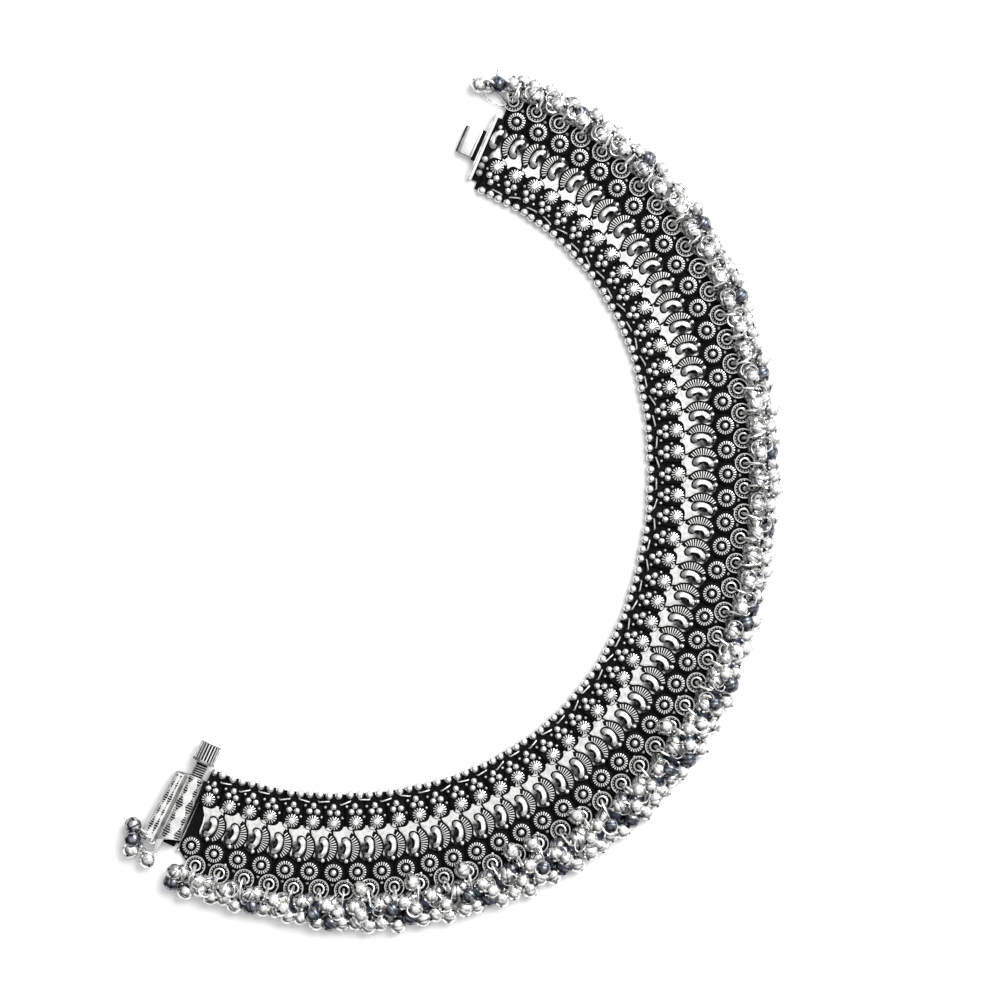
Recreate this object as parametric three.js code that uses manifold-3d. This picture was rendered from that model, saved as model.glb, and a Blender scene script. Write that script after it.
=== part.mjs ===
// An open anklet of cast oxidised silver, lying flat as an open C.
// Fifty-one links hang side by side: each has a square tile at the inner edge, a mango-shaped leaf, a round
// disc and an outer eyelet. Round bells hang on the eyelets. One end carries a tongue bar, the other a clasp
// box with a thumb screw.
import * as THREE from 'three';
import { mergeVertices } from 'three/addons/utils/BufferGeometryUtils.js';
import Module from 'manifold-3d';

const wasm = await Module();
wasm.setup();

// Driving dimensions in millimetres and degrees.
const LINK_COUNT = 51;
const UPPER_COUNT = 26;                 // links in the upper half of the chain
const ROUTE_START = { x: 15.489, y: 91.82, heading: -23.4 };
const ROUTE_RADII = [82, 114, 84.9, 102.6];   // arcs of the disc row, from the tongue to the clasp
const ROUTE_LENGTH = 290.9;             // first disc to last disc
const LINK_TURN = 1.2;                  // widest turn of a link off the route
const LINK_SHIFT = 0.3;                 // widest step of a link inward or outward
const OVERLAP = 0.2;                    // how far soldered pieces run into each other
const CUT_PAST = 1;                     // how far a cut runs past what it cuts
const WELD = 1e-4;                      // points closer than this are one

// Rows of a link, outward from the inner edge of the band.
const ROW = { inner: 0.2, tileEnd: 9.4, mango: 13.7, disc: 19.6, bell: 30.2, upperBell: 28.7 };
const TILE = { innerWidth: 4.1, outerWidth: 4.8, top: 2.4 };
const WIRE = { v: 2.4, width: 0.9, bottom: 0.5, top: 1.4, from: 1.6, to: 3.3 };   // loop to the next tile
const MANGO = { u: -3.2, radius: 3.3, bottom: 0.3, top: 2, lift: 3 };
const MANGO_BACK = { from: 242, to: 112, steps: 3 };
const MANGO_POINTS = {                  // seen from the middle of the round back
  tail: { x: 2, y: 4.6 },
  belly: { x: 1.2, y: -1.2 },
  foot: { x: 2.9, y: -4.8 },
  heel: { x: 1.3, y: -4.8 },
};
const DISC = { radius: 2.65, top: 2.35, steps: 6 };
const EYELET = { radius: 2.35, apart: 4.9, swing: 32, steps: 7, hole: 0.9, holeSides: 8 };   // off the disc

const BELL = { radius: 2.1, upperRise: 0.75, play: 0.12, sides: 10, bands: 3, stretch: 1.1 };
const FRINGE_OUT = [                    // how far the bells lie out of their rows, along the chain
  { column: 0, outer: -1.1, raised: 0 },
  { column: 10, outer: 0.2, raised: 0.1 },
  { column: 24, outer: 0.5, raised: 0.4 },
  { column: 28, outer: 2.1, raised: 1.9 },
  { column: 43, outer: 2.1, raised: 1.9 },
  { column: 47, outer: 0.2, raised: 0.1 },
  { column: 51, outer: 0, raised: 0 },
];
const END_BELLS = [                     // bells that trail past the first link, on the tongue's side
  { u: -3.4, v: 28 },
  { u: -6.9, v: 26.6 },
  { u: -10.4, v: 25.1 },
];

const TONGUE = { u: -5, width: 1.2, from: 2.4, to: 19.3, top: 2.6, clearance: 0.35 };
const TAB = { reach: 4.8, from: 7.4, to: 14.1, top: 2.2, bottom: 0.4, sheet: 0.6 };
const KNUCKLE = { rows: [3.4, 7.2], length: 1.5, end: -2.8, top: 1.6 };

const CLASP = { u: 4.55, v: 3.7, turn: -4.5 };  // mouth of the screw barrel, seen from the last link
const LAST_TILE = { right: 1.7, to: 4.1 };      // the last tile is cut clear of the screw's head
const BARREL = { mouth: 4, far: 5.4, height: 4.4, axis: 2.75, length: 15.9, sides: 10 };
const LOBE = { top: 3.3, from: 0.6, inner: 1.2, mouthSide: 5, farSide: 6.4, length: 16.6 };
const LOBE_INNER_LENGTH = 15.6;
const LUG = { bottom: 1.5, top: 2.6, x: 3, y: 19, radius: 1.65, hole: 0.95, sides: 10 };
const LUG_ROUND = { from: -20, to: 200, steps: 6 };
const LUG_NECK = [{ x: 1.4, y: 15 }, { x: 5.4, y: 15.8 }];
const CLASP_RING = { radius: 1.6, wire: 0.35, wireSides: 5, sides: 10, swing: 44 };
const CLASP_BELLS = [
  { x: 8.8, y: 17 },
  { x: 7.7, y: 20.6 },
  { x: 4.5, y: 22.9 },
];
const SCREW = { head: 2.6, headFrom: -8.7, headTo: -3.9, headSides: 16, shank: 1, tip: 9.6, bore: 1.35 };
const BORE_DEPTH = 13.6;

const SILVER = { color: 0xb9b9b4, roughness: 0.32, metalness: 1 };
const BRIGHT_SILVER = { color: 0xd9d9d4, roughness: 0.22, metalness: 1 };
const DARK_SILVER = { color: 0x3a3a3c, roughness: 0.45, metalness: 1 };

// A number from -0.5 to 0.5 that is fixed for each link and each kind of play.
function wobble(index, kind) {
  const value = index * 0.618034 + kind * 0.754878;
  return value - Math.floor(value) - 0.5;
}

// Point of the disc row at a distance along it. Outward is to the left of the way along the row.
function routePoint(distance) {
  const arcLength = ROUTE_LENGTH / ROUTE_RADII.length;
  let { x, y } = ROUTE_START;
  let heading = THREE.MathUtils.degToRad(ROUTE_START.heading);
  let left = distance;
  ROUTE_RADII.forEach((radius, index) => {
    const isLast = index === ROUTE_RADII.length - 1;
    const step = isLast ? left : Math.min(left, arcLength);
    const next = heading - step / radius;
    x += radius * (Math.sin(heading) - Math.sin(next));
    y += radius * (Math.cos(next) - Math.cos(heading));
    heading = next;
    left -= step;
  });
  return { x, y, heading };
}

// Matrix from a link's own frame (x along the row, y outward from the inner edge) to the anklet's frame.
function linkMatrix(column, turn = 0, shift = 0) {
  const { x, y, heading } = routePoint((column * ROUTE_LENGTH) / (LINK_COUNT - 1));
  const matrix = new THREE.Matrix4().makeTranslation(x, y, 0);
  matrix.multiply(new THREE.Matrix4().makeRotationZ(heading + THREE.MathUtils.degToRad(turn)));
  return matrix.multiply(new THREE.Matrix4().makeTranslation(0, shift - ROW.disc, 0));
}

// Closed solid of a geometry, for joining and cutting.
function solid(geometry, matrix = new THREE.Matrix4()) {
  const bare = geometry.clone().applyMatrix4(matrix);
  bare.deleteAttribute('normal');
  bare.deleteAttribute('uv');
  const merged = mergeVertices(bare, WELD);
  return new wasm.Manifold(new wasm.Mesh({
    numProp: 3,
    vertProperties: new Float32Array(merged.attributes.position.array),
    triVerts: new Uint32Array(merged.index.array),
  }));
}

function geometryOf(manifold) {
  const { numProp, vertProperties, triVerts } = manifold.getMesh();
  const positions = new Float32Array((vertProperties.length / numProp) * 3);
  for (let vertex = 0; vertex * numProp < vertProperties.length; vertex += 1) {
    const start = vertex * numProp;
    positions.set(vertProperties.subarray(start, start + 3), vertex * 3);
  }
  const geometry = new THREE.BufferGeometry();
  geometry.setAttribute('position', new THREE.BufferAttribute(positions, 3));
  geometry.setIndex(new THREE.BufferAttribute(new Uint32Array(triVerts), 1));
  geometry.computeVertexNormals();
  return geometry;
}

function namedMesh(name, manifold, finish) {
  const mesh = new THREE.Mesh(geometryOf(manifold), new THREE.MeshStandardMaterial(finish));
  mesh.name = name;
  return mesh;
}

function joined(solids) {
  return solids.reduce((whole, piece) => whole.add(piece));
}

// Points of an arc, in degrees, both ends included.
function arc(x, y, radius, from, to, steps) {
  return Array.from({ length: steps + 1 }, (_, step) => {
    const angle = THREE.MathUtils.degToRad(from + ((to - from) * step) / steps);
    return new THREE.Vector2(x + radius * Math.cos(angle), y + radius * Math.sin(angle));
  });
}

function circle(x, y, radius, sides) {
  return arc(x, y, radius, 0, 360, sides).slice(0, -1);
}

// Flat piece of an outline, from one height to another.
function plate(points, bottom, top, hole) {
  const shape = new THREE.Shape(points);
  if (hole) shape.holes.push(new THREE.Path(hole));
  const geometry = new THREE.ExtrudeGeometry(shape, { depth: top - bottom, bevelEnabled: false });
  return geometry.translate(0, 0, bottom);
}

function point(x, y) {
  return new THREE.Vector2(x, y);
}

function pointAt({ x, y }) {
  return point(x, y);
}

function box(x0, x1, y0, y1, z0, z1) {
  const geometry = new THREE.BoxGeometry(x1 - x0, y1 - y0, z1 - z0);
  return geometry.translate((x0 + x1) / 2, (y0 + y1) / 2, (z0 + z1) / 2);
}

// Square tile at the inner edge of the band, which carries the grains and the small flower.
function tile() {
  const inner = TILE.innerWidth / 2;
  const outer = TILE.outerWidth / 2;
  return plate([
    point(-inner, ROW.inner),
    point(inner, ROW.inner),
    point(outer, ROW.tileEnd),
    point(-outer, ROW.tileEnd),
  ], 0, TILE.top);
}

// Mango leaf: a round back, a tail to the disc, a hollow belly and a plain foot to the tile. The round back
// is lifted, towards the foot of the link before it.
function mango() {
  const { heel, tail, belly, foot } = MANGO_POINTS;
  const back = arc(0, 0, MANGO.radius, MANGO_BACK.from, MANGO_BACK.to, MANGO_BACK.steps);
  const outline = [pointAt(heel), ...back, pointAt(tail), pointAt(belly), pointAt(foot)];
  const geometry = plate(outline.reverse(), MANGO.bottom, MANGO.top);
  geometry.rotateY(THREE.MathUtils.degToRad(MANGO.lift));
  return geometry.translate(MANGO.u, ROW.mango, 0);
}

// Wire loop that joins a tile to the next one.
function wireLoop() {
  const half = WIRE.width / 2;
  return box(WIRE.from, WIRE.to, WIRE.v - half, WIRE.v + half, WIRE.bottom, WIRE.top);
}

// Round disc and the eyelet that stands off it towards the link before, cast in one.
function discAndEyelet() {
  const { apart } = EYELET;
  const alongDisc = (apart ** 2 + DISC.radius ** 2 - EYELET.radius ** 2) / (2 * apart);
  const discCut = THREE.MathUtils.radToDeg(Math.acos(alongDisc / DISC.radius));
  const eyeletCut = THREE.MathUtils.radToDeg(Math.acos((apart - alongDisc) / EYELET.radius));
  const disc = arc(0, 0, DISC.radius, 90 + discCut, 450 - discCut, DISC.steps);
  const eyelet = arc(0, apart, EYELET.radius, eyeletCut - 90, 270 - eyeletCut, EYELET.steps);
  const hole = circle(0, apart, EYELET.hole, EYELET.holeSides);
  const geometry = plate([...disc, ...eyelet.slice(1, -1)], 0, DISC.top, hole);
  return geometry.rotateZ(THREE.MathUtils.degToRad(EYELET.swing)).translate(0, ROW.disc, 0);
}

function link(hasWire) {
  const pieces = [tile(), mango(), discAndEyelet()];
  if (hasWire) pieces.push(wireLoop());
  return joined(pieces.map((piece) => solid(piece)));
}

// Links side by side. The first of the band is cut clear of the tongue bar, the last of the screw's head.
function chain(from, to) {
  const edge = TONGUE.u + TONGUE.width / 2 + TONGUE.clearance;
  const besideTongue = solid(box(-ROW.bell, edge, -ROW.bell, ROW.bell, -ROW.bell, ROW.bell));
  const besideHead = solid(box(LAST_TILE.right, ROW.bell, -ROW.bell, LAST_TILE.to, -ROW.bell, ROW.bell));
  const links = [];
  for (let column = from; column < to; column += 1) {
    const isFirst = column === 0;
    const isLast = column === LINK_COUNT - 1;
    const turn = isFirst || isLast ? 0 : LINK_TURN * wobble(column, 1);
    const shift = isFirst || isLast ? 0 : LINK_SHIFT * wobble(column, 2);
    let shape = link(column < to - 1);
    if (isFirst) shape = shape.subtract(besideTongue);
    if (isLast) shape = shape.subtract(besideHead);
    links.push(solid(geometryOf(shape), linkMatrix(column, turn, shift)));
  }
  return joined(links);
}

// Round bell. Its few bands are drawn out a little, so that its outline is the ball's.
function bell(x, y, z) {
  const geometry = new THREE.SphereGeometry(BELL.radius * BELL.stretch, BELL.sides, BELL.bands);
  geometry.rotateX(Math.PI / 2);
  return geometry.scale(1, 1, 1 / BELL.stretch).translate(x, y, z);
}

// How far out the bells of one row lie at a place along the chain, between the places of the table.
function letOut(row, column) {
  const next = FRINGE_OUT.findIndex((place) => place.column > column);
  const [before, after] = [FRINGE_OUT[next - 1], FRINGE_OUT[next]];
  const share = (column - before.column) / (after.column - before.column);
  return before[row] + share * (after[row] - before[row]);
}

// Bells lie in two rows: the outer ones on the ground, one to a link, and the others raised between them.
function fringe(from, to, trailing = []) {
  const bells = trailing.map(({ u, v }) => solid(bell(u, v, BELL.radius), linkMatrix(from)));
  for (let column = from; column < to; column += 1) {
    const outerRow = ROW.bell + letOut('outer', column) + BELL.play * wobble(column, 4);
    const outer = bell(BELL.play * wobble(column, 3), outerRow, BELL.radius);
    bells.push(solid(outer, linkMatrix(column)));
    if (column < to - 1) {
      const raisedRow = ROW.upperBell + letOut('raised', column + 0.5) + BELL.play * wobble(column, 5);
      const raised = bell(0, raisedRow, BELL.radius + BELL.upperRise);
      bells.push(solid(raised, linkMatrix(column + 0.5)));
    }
  }
  return joined(bells);
}

// Tongue bar with its folded tab on one side and two hinge knuckles on the other.
function tongueBar() {
  const left = TONGUE.u - TONGUE.width / 2;
  const right = TONGUE.u + TONGUE.width / 2;
  const end = left - TAB.reach;
  const fold = [
    point(left + OVERLAP, TAB.top),
    point(end, TAB.top),
    point(end, TAB.bottom),
    point(left + OVERLAP, TAB.bottom),
    point(left + OVERLAP, TAB.bottom + TAB.sheet),
    point(end + TAB.sheet, TAB.bottom + TAB.sheet),
    point(end + TAB.sheet, TAB.top - TAB.sheet),
    point(left + OVERLAP, TAB.top - TAB.sheet),
  ];
  const tab = plate(fold, 0, TAB.to - TAB.from);
  tab.rotateX(Math.PI / 2).translate(0, TAB.to, 0);
  const knuckles = KNUCKLE.rows.map((row) => (
    box(right - OVERLAP, KNUCKLE.end, row - KNUCKLE.length / 2, row + KNUCKLE.length / 2, 0, KNUCKLE.top)
  ));
  const bar = box(left, right, TONGUE.from, TONGUE.to, 0, TONGUE.top);
  return joined([bar, tab, ...knuckles].map((piece) => solid(piece, linkMatrix(0))));
}

// Frame of the clasp: y runs along the screw barrel from its mouth, x away from the last link.
function claspMatrix() {
  const matrix = linkMatrix(LINK_COUNT - 1);
  matrix.multiply(new THREE.Matrix4().makeTranslation(CLASP.u, CLASP.v, 0));
  return matrix.multiply(new THREE.Matrix4().makeRotationZ(THREE.MathUtils.degToRad(CLASP.turn)));
}

// Round bar along the barrel's axis.
function roundBar(radius, from, to, sides) {
  const geometry = new THREE.CylinderGeometry(radius, radius, to - from, sides);
  return geometry.translate(0, (from + to) / 2, 0);
}

function claspBox() {
  const barrel = new THREE.CylinderGeometry(BARREL.far / BARREL.mouth, 1, BARREL.length, BARREL.sides);
  barrel.scale(BARREL.mouth / 2, 1, BARREL.height / 2 / (BARREL.far / BARREL.mouth));
  barrel.translate(0, BARREL.length / 2, BARREL.axis);
  const lobe = plate([
    point(LOBE.inner, LOBE.from),
    point(LOBE.mouthSide, LOBE.from),
    point(LOBE.farSide, LOBE.length),
    point(LOBE.inner, LOBE_INNER_LENGTH),
  ], 0, LOBE.top);
  const lugRound = arc(LUG.x, LUG.y, LUG.radius, LUG_ROUND.from, LUG_ROUND.to, LUG_ROUND.steps);
  const lug = plate([...LUG_NECK.map(pointAt), ...lugRound], LUG.bottom, LUG.top);
  const bore = roundBar(SCREW.bore, -CUT_PAST, BORE_DEPTH, BARREL.sides).translate(0, 0, BARREL.axis);
  const lugHole = plate(circle(LUG.x, LUG.y, LUG.hole, LUG.sides), -CUT_PAST, LOBE.top + CUT_PAST);
  return joined([barrel, lobe, lug].map((piece) => solid(piece)))
    .subtract(solid(bore))
    .subtract(solid(lugHole));
}

// Jump ring through the lug, with three bells lying against each other on it.
function claspBells() {
  const swing = THREE.MathUtils.degToRad(CLASP_RING.swing);
  const ring = new THREE.TorusGeometry(
    CLASP_RING.radius, CLASP_RING.wire, CLASP_RING.wireSides, CLASP_RING.sides);
  ring.rotateX(Math.PI / 2).rotateZ(swing);
  ring.translate(
    LUG.x + CLASP_RING.radius * Math.cos(swing),
    LUG.y + CLASP_RING.radius * Math.sin(swing),
    (LUG.bottom + LUG.top) / 2,
  );
  const bells = CLASP_BELLS.map(({ x, y }) => bell(x, y, BELL.radius));
  return joined([ring, ...bells].map((piece) => solid(piece)));
}

function claspScrew() {
  const head = roundBar(SCREW.head, SCREW.headFrom, SCREW.headTo, SCREW.headSides);
  const shank = roundBar(SCREW.shank, SCREW.headTo - OVERLAP, SCREW.tip, BARREL.sides);
  return joined([head, shank].map((piece) => solid(piece.translate(0, 0, BARREL.axis))));
}

const anklet = new THREE.Group();
anklet.add(
  namedMesh('link_chain_upper', chain(0, UPPER_COUNT), SILVER),
  namedMesh('link_chain_lower', chain(UPPER_COUNT, LINK_COUNT), SILVER),
  namedMesh('bell_fringe_upper', fringe(0, UPPER_COUNT, END_BELLS), BRIGHT_SILVER),
  namedMesh('bell_fringe_lower', fringe(UPPER_COUNT, LINK_COUNT), BRIGHT_SILVER),
  namedMesh('tongue_bar', tongueBar(), BRIGHT_SILVER),
);

const clasp = new THREE.Group();
clasp.applyMatrix4(claspMatrix());
clasp.add(
  namedMesh('clasp_box', claspBox(), BRIGHT_SILVER),
  namedMesh('clasp_bells', claspBells(), BRIGHT_SILVER),
  namedMesh('clasp_screw', claspScrew(), DARK_SILVER),
);
anklet.add(clasp);

export default anklet;
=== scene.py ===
import math
from types import SimpleNamespace as Sizes

import bpy
from mathutils import Matrix, Vector


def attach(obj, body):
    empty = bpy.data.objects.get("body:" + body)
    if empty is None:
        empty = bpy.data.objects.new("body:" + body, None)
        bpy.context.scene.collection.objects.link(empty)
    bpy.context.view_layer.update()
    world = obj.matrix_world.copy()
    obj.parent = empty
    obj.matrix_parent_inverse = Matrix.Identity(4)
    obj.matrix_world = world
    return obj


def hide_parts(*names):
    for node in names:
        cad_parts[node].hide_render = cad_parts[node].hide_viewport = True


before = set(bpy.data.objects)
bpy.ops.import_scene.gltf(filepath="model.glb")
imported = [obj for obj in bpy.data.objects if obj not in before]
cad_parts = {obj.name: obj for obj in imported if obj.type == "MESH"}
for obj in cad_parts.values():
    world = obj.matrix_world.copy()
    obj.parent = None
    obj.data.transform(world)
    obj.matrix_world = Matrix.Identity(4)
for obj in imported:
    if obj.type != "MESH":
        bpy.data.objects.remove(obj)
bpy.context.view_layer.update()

# Ground of a link. The thin cast plate that the ornaments of one link stand on, blackened all over, partly as
# patina and partly as painted shade between them. A block drawn in at its inner end. Links are modelled in
# millimetres, with x along the band, y outward from its inner edge and z up, and scaled down where they are
# laid.
GROUND = Sizes(left=-3.6, right=2.6, start=0.9, end=26.2, bottom=0.15, top=0.7)
GROUND_NARROW = 0.84
FACING = 0.9  # a face looks one way when its normal points this far that way


def begin(primitive, **sizes):
    """A primitive, alone in the selection, with its place in its mesh and a patina-and-shade mark on every
    point.
    """
    bpy.ops.object.select_all(action="DESELECT")
    primitive(**sizes)
    bpy.ops.object.transform_apply(location=True, rotation=True, scale=True)
    piece = bpy.context.object
    piece.data.attributes.new("patina_and_shade", "FLOAT", "POINT")
    return piece


def block(left, right, start, end, bottom, top):
    """A cube drawn out between these sides, from start to end across the band."""
    middle = ((left + right) / 2, (start + end) / 2, (bottom + top) / 2)
    return begin(bpy.ops.mesh.primitive_cube_add, size=1, location=middle,
                 scale=(right - left, end - start, top - bottom))


def close():
    bpy.ops.object.mode_set(mode="OBJECT")


def clear_picks(kind):
    """Readies the piece in hand for the picking of faces or edges, with none picked."""
    bpy.ops.object.mode_set(mode="EDIT")
    bpy.ops.mesh.select_mode(type=kind)
    bpy.ops.mesh.select_all(action="DESELECT")
    close()


def pick(piece, test=lambda face: True):
    """Opens the piece for editing with only the faces that pass the test selected."""
    clear_picks("FACE")
    for face in piece.data.polygons:
        face.select = test(face)
    bpy.ops.object.mode_set(mode="EDIT")


def narrow_inner_end(piece, share):
    """Draws the inner end of a block in to a share of its width."""
    pick(piece, lambda face: face.normal.y < -FACING)
    bpy.ops.transform.resize(value=(share, 1, 1), center_override=(0, 0, 0))


def marks_of(piece):
    return piece.data.attributes["patina_and_shade"].data


def stain(piece, tone):
    """Marks how black each point is, from 0, polished, to 1, black, by one tone or a rule for its place; the
    black is patina in some places and painted shade in others.
    """
    close()
    marks = marks_of(piece)
    for point in piece.data.vertices:
        marks[point.index].value = tone(point.co) if callable(tone) else tone


ground = block(**vars(GROUND))
narrow_inner_end(ground, GROUND_NARROW)
stain(ground, 1)
link_pieces = [ground]

# Tile at the inner end of a link. A cast block with a scalloped outer end and a sunk top, blackened all over,
# which carries the grains and the small flower. A cube with two corners rounded off.
TILE = Sizes(left=-2.375, right=2.375, start=0.75, end=9.75, bottom=0.5, top=1.5)
TILE_NARROW = 0.9
TILE_ROUND = Sizes(radius=1.5, segments=6)
TILE_RIM = 0.14
TILE_SINK = 0.15
NEAR = 0.1  # a point this close to a side counts as on it


def pick_edges(piece, test=lambda a, b: True):
    """Opens the piece for editing with only the edges whose two ends pass the test selected."""
    clear_picks("EDGE")
    points = piece.data.vertices
    for edge in piece.data.edges:
        edge.select = test(*(points[index].co for index in edge.vertices))
    bpy.ops.object.mode_set(mode="EDIT")


def is_top(face):
    return face.normal.z > FACING


tile = block(**vars(TILE))
narrow_inner_end(tile, TILE_NARROW)
pick_edges(tile, lambda a, b: min(a.y, b.y) > TILE.end - NEAR and abs(a.z - b.z) > NEAR)
bpy.ops.mesh.bevel(offset=TILE_ROUND.radius, segments=TILE_ROUND.segments, affect="EDGES")
pick(tile, is_top)
bpy.ops.mesh.inset(thickness=TILE_RIM, depth=0)
bpy.ops.mesh.inset(thickness=TILE_RIM / 2, depth=-TILE_SINK)
stain(tile, 1)
link_pieces.append(tile)

# Grains of a tile. Solid silver balls soldered on: two at the inner edge, three in a trefoil, and small ones
# at the sides and by the eyelet. They are bright on top and black on their lower sides, partly patina where
# they meet the ground and partly painted shade. Balls, a little flattened, with their buried feet cut away.
GRAINS = (  # x, y, height of the middle, radius, sides
    (-1.15, 1.15, 1.4, 1.0, 12), (1.15, 1.2, 1.4, 0.97, 12),
    (0.05, 3.8, 1.75, 0.79, 12), (-0.92, 5.25, 1.7, 0.81, 12), (0.97, 5.2, 1.75, 0.81, 12),
    (-2.0, 6.5, 1.4, 0.36, 8), (2.05, 3.9, 1.45, 0.36, 8), (-3.0, 16.85, 1.6, 0.58, 10),
    (2.6, 21.7, 0.9, 0.5, 8), (0.3, 22.5, 0.8, 0.45, 8),
)
GRAIN = Sizes(shade=0.22, foot=-0.5, flat=0.86)
SMALL_GRAIN = Sizes(under=0.5, tarnish=0.42)


def two_tone(height, over=0, under=1):
    """A rule that gives one tone above a height and another, or black, under it."""
    return lambda point: under if point.z < height else over


def grain(x, y, z, radius, sides):
    ball = begin(bpy.ops.mesh.primitive_uv_sphere_add, segments=sides, ring_count=sides * 2 // 3,
                 radius=radius, location=(x, y, z))
    pick(ball)
    bpy.ops.mesh.bisect(plane_co=(x, y, z + GRAIN.foot * radius), plane_no=(0, 0, -1), use_fill=True,
                        clear_outer=True)
    close()
    for point in ball.data.vertices:
        point.co.z = z + GRAIN.flat * (point.co.z - z)
    top = SMALL_GRAIN.tarnish if radius < SMALL_GRAIN.under else 0
    stain(ball, two_tone(z + GRAIN.shade * radius, top))
    return ball


link_pieces += [grain(*row) for row in GRAINS]

# Wire loop between two tiles. A ring of drawn wire pulled long and a little crooked, passed through the ears
# of both tiles and soldered shut. A torus with one half drawn away from the other, set almost on edge.
LOOP = Sizes(radius=0.42, wire=0.17, sides=(16, 6), stretch=1.8, crook=0.2, tip=1.15)
LOOP_PLACE = (1.5, 2.5, 1.5)
LOOP_TARNISH = Sizes(over=0.1, tone=0.36)


def ring(sizes, place=(0, 0, 0)):
    """A round wire ring lying flat."""
    round_sides, wire_sides = sizes.sides
    return begin(bpy.ops.mesh.primitive_torus_add, major_segments=round_sides, minor_segments=wire_sides,
                 major_radius=sizes.radius, minor_radius=sizes.wire, location=place)


def spin(angle, axis):
    return Matrix.Rotation(angle, 4, axis)


loop = ring(LOOP)
pick(loop, lambda face: face.center.x > 0)
bpy.ops.transform.translate(value=(LOOP.stretch, LOOP.crook, 0))
close()
loop.data.transform(spin(LOOP.tip, "X"))
stain(loop, two_tone(LOOP_TARNISH.over, LOOP_TARNISH.tone))

# Small flower of a tile. A cast boss with fourteen rays: its sloping rim is cut between the rays, and the
# cuts are black. A short cylinder with its top drawn up in steps, and every second facet sunk.
FLOWER = Sizes(x=0, y=7.75, radius=1.65, bottom=0.8, top=1.62, sides=28)
FLOWER_STEPS = ((0.05, 0.1), (0.46, 0.14), (0.46, 0.12), (0.38, 0.06))  # step in, step up
RAY_CUT = Sizes(depth=0.45, start=0.76, to=1.65, swing=0.022)
SIDE_BLACK = 0.02  # a boss is black this far past its plain side
SLOPING = 0.2  # a facet can be sunk when its normal points this far up


def draw_in(steps):
    """Draws the faces that are selected in and up, or down, step by step."""
    for step_in, step_up in steps:
        bpy.ops.mesh.inset(thickness=step_in, depth=step_up)


def boss(sizes, steps):
    """A short cylinder whose top is drawn in by these steps."""
    height = sizes.top - sizes.bottom
    piece = begin(bpy.ops.mesh.primitive_cylinder_add, vertices=sizes.sides, radius=sizes.radius,
                  depth=height, location=(sizes.x, sizes.y, sizes.bottom + height / 2))
    pick(piece, is_top)
    draw_in(steps)
    return piece


def reach(place, sizes):
    """How far a place is from the middle of a round piece."""
    return math.hypot(place.x - sizes.x, place.y - sizes.y)


def is_even_facet(face, sizes):
    """Whether a face is in an even one of the equal wedges about the middle of a round piece."""
    turn = math.atan2(face.center.y - sizes.y, face.center.x - sizes.x)
    return int(turn % math.tau / math.tau * sizes.sides) % 2 == 0


def blacken_picked(piece, tone=1):
    """Blackens the points of the faces that are selected, wholly or in part."""
    close()
    marks = marks_of(piece)
    for face in piece.data.polygons:
        if face.select:
            for index in face.vertices:
                marks[index].value = tone


def cut_between(piece, sizes, cut):
    """Sinks every second facet of a round piece between two radii, and blackens the floors of the cuts."""
    for point in piece.data.vertices:
        turn = math.atan2(point.co.y - sizes.y, point.co.x - sizes.x)
        is_far_side = round(turn / math.tau * sizes.sides) % 2 == 1
        away = reach(point.co, sizes)
        turn += cut.swing if is_far_side else -cut.swing
        point.co.x = sizes.x + away * math.cos(turn)
        point.co.y = sizes.y + away * math.sin(turn)
    pick(piece, lambda face: face.normal.z > SLOPING and cut.start < reach(face.center, sizes) < cut.to
         and is_even_facet(face, sizes))
    bpy.ops.mesh.inset(thickness=0, depth=-cut.depth)
    blacken_picked(piece)


flower = boss(FLOWER, FLOWER_STEPS)
stain(flower, two_tone(FLOWER.top + SIDE_BLACK))
cut_between(flower, FLOWER, RAY_CUT)
link_pieces.append(flower)

# Mango leaf of a link. A smooth bright plate with an S-shaped black edge that laps over the link before it;
# a crescent of ribs lies along its round back, and a plump kidney with a notch in its hollow side lies beside
# the crescent. The black edge is partly patina and partly a painted shadow of the gap under it, the outer
# part of the plate is greyed as painted shade, and the kidney is darkened by painted shade on its hollow side
# and upper arm and is black on its lower side, partly patina and partly painted shade. A flat outline drawn
# up, part of a ring cut into ribs, and a ball bent to a kidney.
LEAF_OUTLINE = (  # x, y
    (1.0, 8.6), (0.4, 10.2), (-0.45, 11.6), (-0.7, 13.6), (-0.7, 15.6), (-1.15, 17.0), (-2.3, 17.45),
    (-3.9, 17.4), (-5.2, 16.85), (-6.0, 15.9), (-6.5, 14.8), (-6.66, 13.7), (-6.5, 12.6), (-6.0, 11.5),
    (-5.3, 10.6), (-4.98, 9.6), (-4.9, 8.6),
)
# The dull tone greys the top of the plate beyond bright_to as painted shade; the edge below the top is black,
# partly patina and partly a painted shadow of the gap under it.
LEAF = Sizes(bottom=0.75, top=1.32, bright_to=12.6, dull=0.66)
LEAF_STEPS = ((0.38, 0), (0.05, 0.06))
LEAF_BORDER = Sizes(under=0.03, black_from=16, back=-4, back_from=9, tarnish=0.2)
LEAF_LIFT = Sizes(about=-3.2, turn=math.radians(3.5))
CRESCENT = Sizes(x=-2.56, y=13.7, outer=3.72, crest=3.1, inner=2.1, sides=68, spread=0.98)
CRESCENT_HEIGHT = Sizes(outer=1.9, crest=1.98, inner=1.98, sheet=0.6)
CRESCENT_TAPER = 0.5
CRESCENT_CUT = Sizes(depth=0.5, start=2.0, to=3.72, swing=0.01)
CRESCENT_BED = Sizes(x=-2.56, y=13.7, outer=4.12, crest=3.0, inner=1.8, sides=44, spread=1.12)
CRESCENT_BED_HEIGHT = Sizes(outer=1.42, crest=1.5, inner=1.46, sheet=0.3)
KIDNEY_SHAPE = Sizes(x=-3.2, y=13.85, width=1.14, half=2.6, lean=0.25, bow=0.64)
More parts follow.
